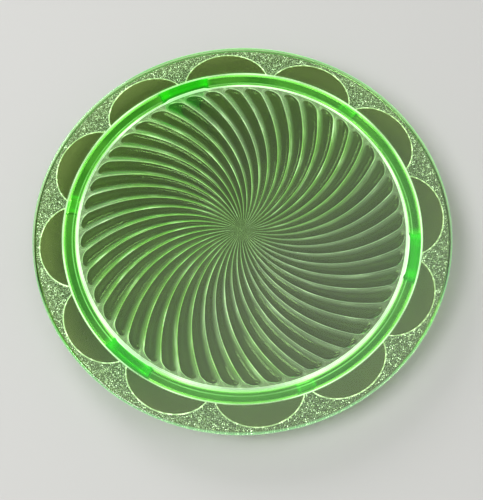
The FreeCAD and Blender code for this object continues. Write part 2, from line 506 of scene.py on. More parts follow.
@dataclass(frozen=True)
class Masks:
    """Sockets that give the share, from 0 to 1, of each feature at a point of the glass."""

    ground: Any
    dots: Any
    crease: Any
    # lit_crease: the creases, with their painted highlights faded on the side away from the light
    lit_crease: Any
    ring: Any
    lines: Any
    rim: Any
    above: Any


@dataclass(frozen=True)
class UraniumGlass:
    """Clear yellow-green pressed glass, dark in its body, with painted glow and painted highlights along
    creases and edges.
    """

    sizes: PlateSizes
    lunettes: LunetteRule
    reeds: ReedPattern
    feet: FootPattern
    pads: FootPattern
    name: str = "uranium_glass"
    ior: float = 1.51
    depth_colour: Colour = (0.42, 0.76, 0.12)
    depth_density: float = 165.0
    # tints
    top_tint: Colour = (0.95, 1.0, 0.91)
    body_tint: Colour = (0.165, 0.205, 0.036)
    body_tint_deep: Colour = (0.095, 0.130, 0.017)
    body_noise: float = 18.0
    ground_tint: Colour = (0.13, 0.18, 0.07)
    # painted highlight: almost clear tint on the rim, the lit creases, the lines and the dots
    painted_highlight_tint: Colour = (0.86, 1.0, 0.74)
    # the ring's green is partly the glass's own colour and partly painted light: much lighter than the body, as
    # if light ran through it, and varied in patches
    ring_tint_and_painted_light: Colour = (0.20, 0.80, 0.05)
    ring_tint_deep: Colour = (0.05, 0.34, 0.01)
    ring_patches: Patches = Patches(26.0, 0.40, 0.62)
    # roughness
    polish_patches: Patches = Patches(240.0, 0.55, 0.8, 0.012, 0.036, detail=4.0)
    crease_roughness: float = 0.42
    # colours and strengths of the painted glow: emission that stands in for light caught along creases, the
    # ring, the feet, lines, rim and dots
    crease_glow: Colour = (0.46, 1.0, 0.18)
    crease_glow_pale: Colour = (0.86, 1.0, 0.86)
    ring_glow: Colour = (0.02, 1.0, 0.0)
    line_glow: Colour = (0.86, 0.96, 0.98)
    rim_glow: Colour = (0.46, 1.0, 0.50)
    crease_strength: float = 0.56
    streak_strength: float = 0.90
    ring_strength: float = 0.05
    foot_strength: float = 0.16
    foot_top_strength: float = 0.40
    pad_top_strength: float = 0.30
    dot_strength: float = 0.36
    line_strength: float = 1.10
    rim_strength: float = 0.40
    # where the painted glow is pale, and where it is weaker on the side away from the light
    # painted highlight streaks along the reeds, and patches and noses where the painted glow turns pale
    streak_stretch: Point2 = (60.0, 30.0)
    streak_patches: Patches = Patches(1.0, 0.48, 0.70)
    streak_pale: float = 0.8
    drift_patches: Patches = Patches(9.0, 0.42, 0.60)
    nose_pale: float = 0.75
    nose_reach: float = 2.2
    line_patches: Patches = Patches(22.0, 0.38, 0.64, 0.45, 1.25)
    # how the painted highlights of creases, dots and lunette outlines fade towards the side away from the light
    unlit_crease: tuple[float, ...] = (-0.15, -0.02, 0.42, 1.0)
    unlit_dots: tuple[float, ...] = (-0.20, 0.05, 0.3, 1.0)
    unlit_outline: tuple[float, ...] = (-0.20, 0.05, 0.144, 0.36)
    # painted sparkle dots of the ground, which are also dull
    dot_scale: float = 1050.0
    dot_edge: Point2 = (0.22, 0.42)
    dot_patches: Patches = Patches(500.0, 0.40, 0.60, 0.25, 1.0, detail=1.0)
    # shares of the lesser painted highlight marks
    strip_share: float = 0.34
    bed_share: float = 0.6
    crest_share: float = 0.6
    end_reach: Point2 = (0.5, 0.8)
    middle_share: float = 0.45
    # relief of the surface
    wave_scale: float = 30.0
    wave_share: float = 0.6
    pit_patches: Patches = Patches(420.0, 0.62, 0.75, 0.0, 0.25, detail=3.0)
    relief_strength: float = 0.35
    relief_height: float = 0.25 * MM

    def build(self) -> bpy.types.Material:
        """Makes the material of the plate's shell.

        Returns:
            The material.
        """
        material = bpy.data.materials.new(self.name)
        graph = ShaderGraph(material)
        place = graph.place()
        x, y, z = graph.parts(place)
        # painted light: one side of the plate is taken as lit, the other as shaded
        spot = Spot(place, z, *graph.polar(x, y), painted_light_side=graph.less(y, x))
        masks = self._masks(graph, spot)
        # painted glow: emission that stands in for highlights and for light carried through the glass
        glow, strength = self._painted_glow(graph, spot, masks)
        shader = graph.fed("ShaderNodeBsdfPrincipled", {
            "IOR": self.ior,
            "Transmission Weight": 1.0,
            "Specular IOR Level": 0.5,
            "Base Color": self._tint(graph, spot, masks),
            "Roughness": self._dullness(graph, spot, masks),
            "Emission Color": glow,
            "Emission Strength": strength,
            "Normal": self._relief(graph, spot),
        })
        depth = graph.fed("ShaderNodeVolumeAbsorption", {
            "Color": (*self.depth_colour, 1.0), "Density": self.depth_density})
        graph.finish("ShaderNodeOutputMaterial", shader.outputs[0], depth.outputs[0])
        return material

    def _masks(self, graph: ShaderGraph, spot: Spot) -> Masks:
        """Finds the features of the plate.

        Args:
            graph: the material's nodes.
            spot: where the point is.

        Returns:
            The share of each feature.
        """
        sizes = self.sizes
        ground, outline = self._ground(graph, spot)
        # dots: painted sparkle on the stippled ground, tinted almost clear and given glow; they are also dull
        grain = graph.fed("ShaderNodeTexVoronoi", {"Vector": spot.place, "Scale": self.dot_scale},
                          voronoi_dimensions="2D")
        dots = graph.times(ground, graph.fall(grain.outputs["Distance"], *self.dot_edge),
                           graph.patches(spot.place, self.dot_patches))
        crease = self._crease(graph, spot)
        # the painted highlight round the lunettes fades towards the side away from the light
        outline = graph.times(outline, graph.ramp(spot.painted_light_side, *self.unlit_outline))
        return Masks(
            ground=ground,
            dots=dots,
            crease=crease,
            # painted highlights on the creases fade towards the side away from the light
            lit_crease=graph.times(crease, graph.ramp(spot.painted_light_side, *self.unlit_crease)),
            ring=graph.band(spot.radius, sizes.ring_inner, sizes.ring_outer, 0.6 * MM),
            # lines: painted highlight lines round the ring and round the lunettes; they are also dull
            lines=graph.most(self._painted_ring_highlights(graph, spot), outline),
            # rim: a painted highlight round the edge, tinted almost clear and given glow
            rim=graph.ramp(spot.radius, sizes.rim - 1.4 * MM, sizes.rim - 0.6 * MM),
            above=graph.ramp(spot.z, sizes.top - 1.6 * MM, sizes.top - 1.0 * MM),
        )

    def _tint(self, graph: ShaderGraph, spot: Spot, masks: Masks) -> Any:
        """Colours the surface: dark below, almost white on the flat top, and clear along edges, lit creases,
        lines and dots, where it is painted highlight.

        Args:
            graph: the material's nodes.
            spot: where the point is.
            masks: the share of each feature.

        Returns:
            The socket with the colour.
        """
        body = graph.blend(graph.noise(spot.place, self.body_noise), self.body_tint, self.body_tint_deep)
        body = graph.blend(masks.ground, body, self.ground_tint)
        # ring: a lighter, saturated green, partly the glass's colour and partly painted light
        deep = graph.patches(spot.place, self.ring_patches)
        body = graph.blend(masks.ring, body, graph.blend(deep, self.ring_tint_and_painted_light, self.ring_tint_deep))
        # painted highlights: these marks are tinted almost clear so that they read bright
        clear = graph.most(masks.rim, masks.lit_crease, masks.lines, masks.dots)
        body = graph.blend(clear, body, self.painted_highlight_tint)
        return graph.blend(masks.above, body, self.top_tint)

    def _dullness(self, graph: ShaderGraph, spot: Spot, masks: Masks) -> Any:
        """Roughness: nearly polished, but dull along creases, lines and dots."""
        polish = graph.patches(spot.place, self.polish_patches)
        dull = graph.most(masks.crease, masks.lines, masks.dots)
        return graph.most(polish, graph.times(dull, self.crease_roughness))

    def _painted_glow(self, graph: ShaderGraph, spot: Spot, masks: Masks) -> tuple[Any, Any]:
        """Paints glow (emission) on creases, edges and thick places as painted light, standing in for
        highlights and for light carried through the glass.

        Args:
            graph: the material's nodes.
            spot: where the point is.
            masks: the share of each feature.

        Returns:
            The sockets with the painted glow's colour and its strength.
        """
        sizes, reeds = self.sizes, self.reeds
        # painted highlight streaks run along the reeds; the painted glow is also paler in patches and towards
        # the noses
        swirled = graph.less(spot.turn, graph.times(spot.radius, reeds.turn / reeds.end_radius))
        stretch_out, stretch_round = self.streak_stretch
        along = graph.vector(graph.times(spot.radius, stretch_out), graph.times(swirled, stretch_round), 0.0)
        streak = graph.patches(along, self.streak_patches)
        drift = graph.patches(spot.place, self.drift_patches)
        nose = graph.ramp(spot.radius, reeds.end_radius - self.nose_reach * reeds.nose, reeds.end_radius,
                          0.0, self.nose_pale)
        pale = graph.most(drift, nose, graph.times(streak, self.streak_pale))
        glow = graph.blend(pale, self.crease_glow, self.crease_glow_pale)
        marks = graph.most(masks.lines, masks.dots)
        for mask, colour in ((masks.ring, self.ring_glow), (marks, self.line_glow), (masks.rim, self.rim_glow)):
            glow = graph.blend(mask, glow, colour)

        # painted glow in the feet, flickering on the lines, on the rim, on the top over the feet and pads, and
        # on the dots of the lit side
        foot = graph.times(masks.ring, graph.fall(spot.z, sizes.ring_crest - 3 * MM, sizes.ring_crest))
        flicker = graph.times(masks.lines, graph.patches(spot.place, self.line_patches))
        # painted sparkle: the dots glow only towards the lit side
        lit_dots = graph.times(masks.dots, graph.ramp(spot.painted_light_side, *self.unlit_dots))
        # painted highlights along the creases of the lit side, stronger on the streaks
        strength = graph.math("MULTIPLY_ADD", streak, self.streak_strength, self.crease_strength)
        strength = graph.times(masks.lit_crease, strength)
        for mask, share in (
            (masks.ring, self.ring_strength),
            (foot, self.foot_strength),
            (flicker, self.line_strength),
            (masks.rim, self.rim_strength),
            # painted glow on the flat top over the feet and pads, brightest over their ends
            (graph.times(masks.above, self._over(graph, spot, self.feet)), self.foot_top_strength),
            (graph.times(masks.above, self._over(graph, spot, self.pads)), self.pad_top_strength),
            (lit_dots, self.dot_strength),
        ):
            strength = graph.math("MULTIPLY_ADD", mask, share, strength)
        return glow, strength

    def _over(self, graph: ShaderGraph, spot: Spot, feet: FootPattern) -> Any:
        """How much a place lies over a foot or pad, most of all over its ends, where the painted glow on the
        top is brightest.

        Args:
            graph: the material's nodes.
            spot: where the point is.
            feet: where the feet or pads lie.

        Returns:
            The socket with a share from 0 to 1.
        """
        away = graph.math("ABSOLUTE", graph.from_nearest(spot.turn, feet.first_angle, feet.count))
        reach = feet.half_width / feet.middle
        soft = reach * 0.16
        near = graph.fall(away, reach - soft, reach + soft)
        ends = graph.ramp(away, *(reach * share for share in self.end_reach), self.middle_share, 1.0)
        return graph.times(near, ends, graph.band(spot.radius, feet.inner, feet.outer, 0.9 * MM))

    def _painted_ring_highlights(self, graph: ShaderGraph, spot: Spot) -> Any:
        """Finds where painted highlight lines go: both sides of the ring, and a line along its crest.

        Args:
            graph: the material's nodes.
            spot: where the point is.

        Returns:
            The socket with a share from 0 to 1.
        """
        inner, outer, crest = self.sizes.ring_inner, self.sizes.ring_outer, self.sizes.ring_crest
        top, soft = self.sizes.top, 0.35 * MM
        sides = graph.most(graph.band(spot.radius, inner - 0.9 * MM, inner + 1.6 * MM, soft),
                           graph.band(spot.radius, outer - 0.6 * MM, outer + 0.4 * MM, soft))
        high = graph.ramp(spot.z, crest + 1.0 * MM, crest + 2.4 * MM)
        under = graph.times(high, graph.fall(spot.z, top - 1.2 * MM, top - 0.6 * MM))
        along = graph.band(spot.radius, inner + 3.0 * MM, inner + 3.7 * MM, 0.3 * MM)
        low = graph.band(spot.z, crest - 0.9 * MM, crest + 0.9 * MM, 0.2 * MM)
        return graph.most(graph.times(sides, under), graph.times(along, low, self.crest_share))

    def _crease(self, graph: ShaderGraph, spot: Spot) -> Any:
        """Finds the creases between the reeds and round their noses: where the glass is dull, and where painted
        highlights go beside them.

        Args:
            graph: the material's nodes.
            spot: where the point is.

        Returns:
            The socket with a share from 0 to 1.
        """
        across, travel, _ = graph.on_reed(spot.radius, spot.turn, self.reeds)
        reach = graph.math("SQRT", graph.squares(across, travel))
        # painted highlights: a bright outline round each nose, weaker on one side of the reed, a bright bed
        # beyond it and fainter strips along the reeds
        outline = graph.times(graph.ramp(reach, 0.76, 0.85), graph.fall(reach, 0.89, 0.98),
                              graph.ramp(across, -0.25, 0.25, 1.0, 0.4))
        bed = graph.times(graph.ramp(reach, 0.95, 1.0), graph.fall(reach, 1.0, 1.12), self.bed_share)
        steep = graph.times(graph.ramp(across, 0.35, 1.0), graph.fall(travel, 0.1, 0.6))
        strip = graph.most(graph.times(graph.ramp(reach, 0.80, 0.88), graph.fall(reach, 1.2, 1.7)), steep)
        line = graph.most(outline, bed, graph.times(strip, self.strip_share))
        floor, edge = self.sizes.well_underside, self.sizes.ring_inner
        under = graph.fall(spot.z, floor + 0.2 * MM, floor + 1.0 * MM)
        return graph.times(line, under, graph.fall(spot.radius, edge - 0.6 * MM, edge))

    def _ground(self, graph: ShaderGraph, spot: Spot) -> tuple[Any, Any]:
        """Finds the stippled ground of the underside, and the lines round the lunettes where a painted
        highlight goes.

        Args:
            graph: the material's nodes.
            spot: where the point is.

        Returns:
            The sockets with a share from 0 to 1 of each.
        """
        sizes = self.sizes
        reach = graph.lunette_reach(spot.radius, spot.turn, self.lunettes)
        beyond = graph.ramp(spot.radius, sizes.ring_outer + 0.2 * MM, sizes.ring_outer + 0.5 * MM)
        within = graph.fall(spot.radius, sizes.flange_outer - 0.3 * MM, sizes.flange_outer)
        under = graph.fall(spot.z, sizes.flange_underside, sizes.flange_underside + 0.5 * MM)
        flange = graph.times(beyond, graph.times(within, under))
        outside, outline = graph.ramp(reach, 1.0, 1.03), graph.band(reach, 0.975, 1.03, 0.015)
        return graph.times(outside, flange), graph.times(outline, flange)

    def _relief(self, graph: ShaderGraph, spot: Spot) -> Any:
        """Slow waves and faint pits of a surface that was pressed hot."""
        pits = graph.patches(spot.place, self.pit_patches)
        waves = graph.noise(spot.place, self.wave_scale, 1.0)
        return graph.fed("ShaderNodeBump", {
            "Strength": self.relief_strength,
            "Distance": self.relief_height,
            "Height": graph.math("MULTIPLY_ADD", waves, self.wave_share, pits),
        }).outputs[0]


@dataclass(frozen=True)
class BeadGlass:
    """The same glass in pieces too fine to darken with depth: stipple grains and raised lines, with painted
    sparkle in pale, glowing spots.
    """

    name: str
    deep: Colour
    # glow and its two strengths are painted light: emission that stands in for the sparkle of the grains and
    # lines
    glow: Colour
    dull_strength: float
    bright_strength: float
    sparkle_scale: float
    pale: Colour = (0.96, 1.0, 0.93)
    roughness: float = 0.42
    ior: float = 1.51

    def build(self) -> bpy.types.Material:
        """Makes the material.

        Returns:
            The material.
        """
        material = bpy.data.materials.new(self.name)
        graph = ShaderGraph(material)
        place = graph.place()
        # painted sparkle: spots of pale tint and stronger glow
        sparkle = graph.patches(place, Patches(self.sparkle_scale, 0.46, 0.62, detail=1.0))
        rough = Patches(700.0, 0.3, 0.7, self.roughness * 0.8, self.roughness * 1.2)
        brighter = self.bright_strength - self.dull_strength
        shader = graph.fed("ShaderNodeBsdfPrincipled", {
            "IOR": self.ior,
            "Transmission Weight": 1.0,
            "Base Color": graph.blend(sparkle, self.deep, self.pale),
            "Roughness": graph.patches(place, rough),
            "Emission Color": (*self.glow, 1.0),
            "Emission Strength": graph.math("MULTIPLY_ADD", sparkle, brighter, self.dull_strength),
        })
        graph.finish("ShaderNodeOutputMaterial", shader.outputs[0])
        return material


# ---- pieces --------------------------------------------------------------------------------------
def rounded(corners: Sequence[Point2], reaches: Sequence[float], steps: int = 6) -> list[Point2]:
    """A line through corners, each one rounded.

    Args:
        corners: ends and corners of the line, as radius and height.
        reaches: how far before and after each inner corner its curve begins and ends.
        steps: runs in each curve.

    Returns:
        The two ends and the points of each curve.
    """
    line = [corners[0]]
    for before, corner, after, reach in zip(corners, corners[1:], corners[2:], reaches):
        start, end = (Vector(corner) + (Vector(other) - Vector(corner)).normalized() * reach
                      for other in (before, after))
        for index in range(steps + 1):
            share = index / steps
            point = start * (1 - share) ** 2 + Vector(corner) * 2 * share * (1 - share) + end * share**2
            line.append((point.x, point.y))
    line.append(corners[-1])
    return line


def smooth_share(value: float, start: float, end: float) -> float:
    """1 at start, 0 at end, with a smooth run between."""
    share = min(max((end - value) / (end - start), 0.0), 1.0)
    return share * share * (3 - 2 * share)


@dataclass
class Shell:
    """A closed mesh that is built loop by loop from the centre of one side to that of the other."""

    points: list[tuple[float, float, float]] = field(default_factory=list)
    faces: list[tuple[int, ...]] = field(default_factory=list)

    def point(self, x: float, y: float, z: float) -> int:
        """Adds one point and returns its index."""
        self.points.append((x, y, z))
        return len(self.points) - 1

    def loop(self, angles: Iterable[float], place: Callable[[float], Point2]) -> list[int]:
        """Adds a loop of points round the axis.

        Args:
            angles: where the points are, in radians.
            place: gives the radius and height at an angle.

        Returns:
            Indices of the new points.
        """
        made = []
        for angle in angles:
            radius, height = place(angle)
            made.append(self.point(radius * math.cos(angle), radius * math.sin(angle), height))
        return made

    def bridge(self, first: Sequence[int], second: Sequence[int]) -> None:
        """Joins two loops of the same count with quads."""
        for index in range(len(first)):
            after = (index + 1) % len(first)
            self.faces.append((first[index], first[after], second[after], second[index]))

    def fan(self, loop: Sequence[int], centre: int, flip: bool = False) -> None:
        """Joins a loop to one point."""
        for index in range(len(loop)):
            ends = (loop[index], loop[(index + 1) % len(loop)])
            self.faces.append((*(reversed(ends) if flip else ends), centre))

    def lace(self, first: Sequence[int], second: Sequence[int]) -> None:
        """Joins two loops of different counts with triangles, each side in order of its angle.

        Args:
            first: one loop.
            second: the other loop.
        """
        turn = {index: math.atan2(self.points[index][1], self.points[index][0]) % FULL_TURN
                for index in (*first, *second)}
        left, right = sorted(first, key=turn.get), sorted(second, key=turn.get)
        at, to = 0, 0
        while at < len(left) or to < len(right):
            left_next = turn[left[(at + 1) % len(left)]] + FULL_TURN * ((at + 1) // len(left))
            right_next = turn[right[(to + 1) % len(right)]] + FULL_TURN * ((to + 1) // len(right))
            here, there = left[at % len(left)], right[to % len(right)]
            if to >= len(right) or (at < len(left) and left_next <= right_next):
                self.faces.append((here, left[(at + 1) % len(left)], there))
                at += 1
            else:
                self.faces.append((here, right[(to + 1) % len(right)], there))
                to += 1

    def mesh(self, name: str) -> bpy.types.Mesh:
        """Turns the shell into a mesh whose faces point outwards.

        Args:
            name: name of the mesh.

        Returns:
            The mesh.
        """
        made = bpy.data.meshes.new(name)
        made.from_pydata(self.points, [], self.faces)
        work = bmesh.new()
        work.from_mesh(made)
        bmesh.ops.recalc_face_normals(work, faces=work.faces)
        work.to_mesh(made)
        work.free()
        return made


@dataclass
class ReedRule:
    """The swirling reeds pressed under the well: how they turn, how deep they are, how they end."""

    end_radius: float
    count: int = 48
    turn: float = math.radians(40.7)
    depth_ratio: float = 0.15
    nose_ratio: float = 0.55
    across: tuple[float, ...] = (-1.0, -0.95, -0.84, -0.68, -0.46, -0.23, 0.0, 0.23, 0.46, 0.68, 0.84, 0.95)
    least_outline: float = 0.02

    def angle(self, radius: float) -> float:
        """Turn of a valley between two reeds at this radius."""
        return self.turn * radius / self.end_radius

    def pitch(self, radius: float) -> float:
        """Distance between neighbouring reeds, measured square to them."""
        return FULL_TURN * radius / self.count * math.cos(math.atan(self.angle(radius)))

    @property
    def nose(self) -> float:
        """Length of a reed's round nose, measured along the radius."""
        return self.pitch(self.end_radius) * self.nose_ratio * math.cos(math.atan(self.turn))

    @property
    def pattern(self) -> ReedPattern:
        """What the glass needs to know of the reeds."""
        return ReedPattern(self.end_radius, self.count, self.turn, self.nose)

    def row(self, radius: float, nose_share: float = 0.0, end_share: float = 0.0,
            edge: float = 0.0) -> list[Point2]:
        """One row of mesh points round the axis, on columns that follow the reeds.

        Args:
            radius: where the row lies on the straight part of the reeds.
            nose_share: how far it has moved out towards the outline of the noses, 0 to 1.
            end_share: how far it has moved from that outline to the edge of the well, 0 to 1.
            edge: radius of the edge of the well.

        Returns:
            The points.
        """
        made = []
        for index in range(self.count):
            for share in self.across:
                outline = self.nose * math.sqrt(max(1 - share * share, self.least_outline))
                reach = radius + outline * nose_share
                reach += (edge - reach) * end_share
                angle = self.angle(reach) + (index + (share + 1) / 2) * FULL_TURN / self.count
                made.append((reach * math.cos(angle), reach * math.sin(angle)))
        return made

    def press(self, mesh: bpy.types.Mesh, name: str, sizes: PlateSizes,
              material: bpy.types.Material) -> bpy.types.Object:
        """Presses the reeds into the flat underside of the well with a Geometry Nodes tree.

        Args:
            mesh: the plate's shell, flat under the well.
            name: name of the finished piece.
            sizes: the plate's shared sizes.
            material: its finish.

        Returns:
            The finished shell.
        """
        graph = Graph("press_reeds")
        reeds = ReedPattern(
            end_radius=graph.ask("End Radius", self.end_radius),
            count=graph.ask("Reed Count", self.count, Socket.INT),
            turn=graph.ask("Turn", self.turn),
            nose=graph.ask("Nose Length", self.nose),
        )
        ratio = graph.ask("Depth Ratio", self.depth_ratio)
        level = graph.ask("Well Underside", sizes.well_underside)
        x, y, z = graph.position()
        radius, turn = graph.polar(x, y)
        across, travel, swirl = graph.on_reed(radius, turn, reeds)
        dome = graph.most(graph.less(1.0, graph.squares(across, travel)), 0.0)
        spacing = graph.over(graph.times(radius, FULL_TURN), reeds.count)
        pitch = graph.times(spacing, graph.math("COSINE", graph.math("ARCTANGENT", swirl)))
        under = graph.math("COMPARE", z, level, LEVEL_TOLERANCE)
        drop = graph.times(pitch, ratio, dome, under, -1.0)
        graph.close(graph.lifted(graph.inputs.outputs[0], drop), material)
        return graph.run(name, mesh)


@dataclass
class FootRing:
    """The low ring under the plate with its three tab feet and three small pads."""

    sizes: PlateSizes
    foot_count: int = 3
    first_foot: float = math.pi / 2
    middle: float = 107.2 * MM
    foot_half_widths: tuple[float, float] = (11.6 * MM, 16.4 * MM)
    pad_half_widths: tuple[float, float] = (3.9 * MM, 5.7 * MM)
    pad_stand: float = 0.6 * MM
    foot_insets: tuple[float, float] = (1.6 * MM, 1.0 * MM)
    pad_insets: tuple[float, float] = (1.9 * MM, 1.4 * MM)
    coarse_step: float = math.radians(0.6)
    fine_step: float = math.radians(0.14)

    @property
    def first_pad(self) -> float:
        """Angle of the first pad, midway between two feet."""
        return self.first_foot + math.pi / self.foot_count

    def pattern(self, first: float, half_width: float, insets: tuple[float, float]) -> FootPattern:
        """What the glass needs to know of the feet or of the pads.

        Args:
            first: angle of the first of them.
            half_width: half of their width along the ring.
            insets: how far inside the ring's two sides the glow over them begins.

        Returns:
            Their numbers.
        """
        inner, outer = self.sizes.ring_inner + insets[0], self.sizes.ring_outer - insets[1]
        return FootPattern(self.foot_count, first, self.middle, half_width, inner, outer)

    @property
    def feet(self) -> FootPattern:
        """What the glass needs to know of the feet."""
        return self.pattern(self.first_foot, self.foot_half_widths[1], self.foot_insets)

    @property
    def pads(self) -> FootPattern:
        """What the glass needs to know of the pads."""
        return self.pattern(self.first_pad, self.pad_half_widths[1], self.pad_insets)

    def profiles(self) -> dict[str, list[Point2]]:
        """Cross-sections of the bare ring, of a foot and of a pad, point for point alike.

        Returns:
            The three cross-sections, from the well to the flange.
        """
        well, flange = self.sizes.well_underside, self.sizes.flange_underside
        inner, outer, crest = self.sizes.ring_inner, self.sizes.ring_outer, self.sizes.ring_crest
        ends = ((inner, well), (outer + 0.4 * MM, flange))
        shapes = {
            "ring": ((inner + 0.4 * MM, well), (inner + 2.0 * MM, crest), (outer - 1.6 * MM, crest),
                     (outer - 0.2 * MM, flange)),
            "foot": ((inner + 1.6 * MM, well), (inner - 0.2 * MM, 0.0), (inner + 3.8 * MM, 0.0),
                     (outer - 0.6 * MM, flange)),
            "pad": ((inner + 0.4 * MM, well), (inner + 2.3 * MM, crest - self.pad_stand),
                    (outer - 1.9 * MM, crest - self.pad_stand), (outer - 0.2 * MM, flange)),
        }
        reaches = {
            "ring": (0.35 * MM, 2.1 * MM, 2.1 * MM, 0.45 * MM),
            "foot": (0.9 * MM, 1.1 * MM, 1.1 * MM, 0.9 * MM),
            "pad": (0.35 * MM, 0.9 * MM, 0.9 * MM, 0.45 * MM),
        }
        return {name: rounded((ends[0], *shapes[name], ends[1]), reaches[name]) for name in shapes}

    def reach_from(self, angle: float, first: float) -> float:
        """Distance along the ring from the nearest of three places that are evenly spaced."""
        step = FULL_TURN / self.foot_count
        return abs((angle - first + step / 2) % step - step / 2) * self.middle

    def shares(self, angle: float) -> tuple[float, float]:
        """How much of a foot and of a pad the ring is at an angle."""
        foot = smooth_share(self.reach_from(angle, self.first_foot), *self.foot_half_widths)
        return foot, smooth_share(self.reach_from(angle, self.first_pad), *self.pad_half_widths)

    def angles(self) -> list[float]:
        """Angles of the mesh columns, close together where a foot or a pad begins."""
        made, angle = [], 0.0
        while angle < FULL_TURN - self.fine_step / 2:
            made.append(angle)
            shares = self.shares(angle)
            ahead = self.shares(angle + self.coarse_step)
            flat = all(share in (0.0, 1.0) for share in (*shares, *ahead)) and shares == ahead
            angle += self.coarse_step if flat else self.fine_step
        return made

    def place(self, index: int, profiles: dict[str, list[Point2]]) -> Callable[[float], Point2]:
        """Where one point of the cross-section lies at each angle.

        Args:
            index: number of the point in the cross-sections.
            profiles: the cross-sections.

        Returns:
            A function from an angle to a radius and height.
        """
        ring, foot, pad = (Vector(profiles[name][index]) for name in ("ring", "foot", "pad"))

        def at(angle: float) -> Point2:
            """Radius and height at an angle."""
            foot_share, pad_share = self.shares(angle)
            point = ring + (foot - ring) * foot_share + (pad - ring) * pad_share
            return point.x, point.y

        return at


@dataclass
class PlateGlass:
    """The pressing itself: well, reeds, foot ring, flange and rim in one closed shell."""

    sizes: PlateSizes
    reeds: ReedRule
    ring: FootRing
    spot_rows: tuple[float, ...] = (1.2 * MM, 3.0 * MM)
    well_rows: int = 30
    nose_rows: int = 14
    end_shares: tuple[float, ...] = (0.15, 0.6, 0.97)
    top_rows: tuple[float, ...] = (126.0 * MM, 108.0 * MM, 84.0 * MM, 56.0 * MM, 28.0 * MM, 9.0 * MM)

    def rows(self) -> list[list[Point2]]:
        """Lays rows of mesh points under the well: along the reeds, round their noses, to the ring.

        Returns:
            The rows, from the middle outwards.
        """
        start, shoulder = self.sizes.reed_start, self.reeds.end_radius - self.reeds.nose
        straight = [start + (shoulder - start) * index / self.well_rows for index in range(self.well_rows)]
        rows = [self.reeds.row(radius) for radius in (*self.spot_rows, *straight)]
        rows += [self.reeds.row(shoulder, math.sin(math.pi / 2 * index / self.nose_rows))
                 for index in range(self.nose_rows + 1)]
        edge = self.sizes.ring_inner
        return rows + [self.reeds.row(shoulder, 1.0, share, edge) for share in self.end_shares]

    def flange_profile(self) -> list[Point2]:
        """Draws the cross-section from the flange's underside, round the rim, to the flat top.

        Returns:
            Its points, as radius and height.
        """
        sizes = self.sizes
        flange = [(sizes.ring_outer + (sizes.flange_outer - sizes.ring_outer) * share, sizes.flange_underside)
                  for share in (0.2, 0.6)]
        corners = ((flange[-1][0], sizes.flange_underside), (sizes.flange_outer, sizes.flange_underside),
                   (sizes.flange_outer + 0.5 * MM, sizes.rim_underside), (sizes.rim, sizes.rim_underside),
                   (sizes.rim, sizes.top), (self.top_rows[0], sizes.top))
        return flange[:1] + rounded(corners, (0.3 * MM, 0.25 * MM, 1.9 * MM, 1.7 * MM))

    def shell(self) -> bpy.types.Mesh:
        """Builds the shell with a flat well.

        Returns:
            A closed mesh.
        """
        made, sizes = Shell(), self.sizes
        centre = made.point(0.0, 0.0, sizes.well_underside)
        previous: list[int] = []
        for row in self.rows():
            loop = [made.point(x, y, sizes.well_underside) for x, y in row]
            if previous:
                made.bridge(previous, loop)
            else:
                made.fan(loop, centre)
            previous = loop
        angles = self.ring.angles()
        profiles = self.ring.profiles()
        first = made.loop(angles, self.ring.place(0, profiles))
        made.lace(previous, first)
        previous = first
        for index in range(1, len(profiles["ring"])):
            loop = made.loop(angles, self.ring.place(index, profiles))
            made.bridge(previous, loop)
            previous = loop
        for point in (*self.flange_profile(), *((radius, sizes.top) for radius in self.top_rows[1:])):
            loop = made.loop(angles, lambda angle, p=point: p)
            made.bridge(previous, loop)
            previous = loop
        made.fan(previous, made.point(0.0, 0.0, sizes.top), flip=True)
        return made.mesh("plate_shell")

    def build(self, material: bpy.types.Material) -> bpy.types.Object:
        """Builds the whole pressing.

        Args:
            material: its finish.

        Returns:
            The finished piece.
        """
        return self.reeds.press(self.shell(), "plate_glass", self.sizes, material)


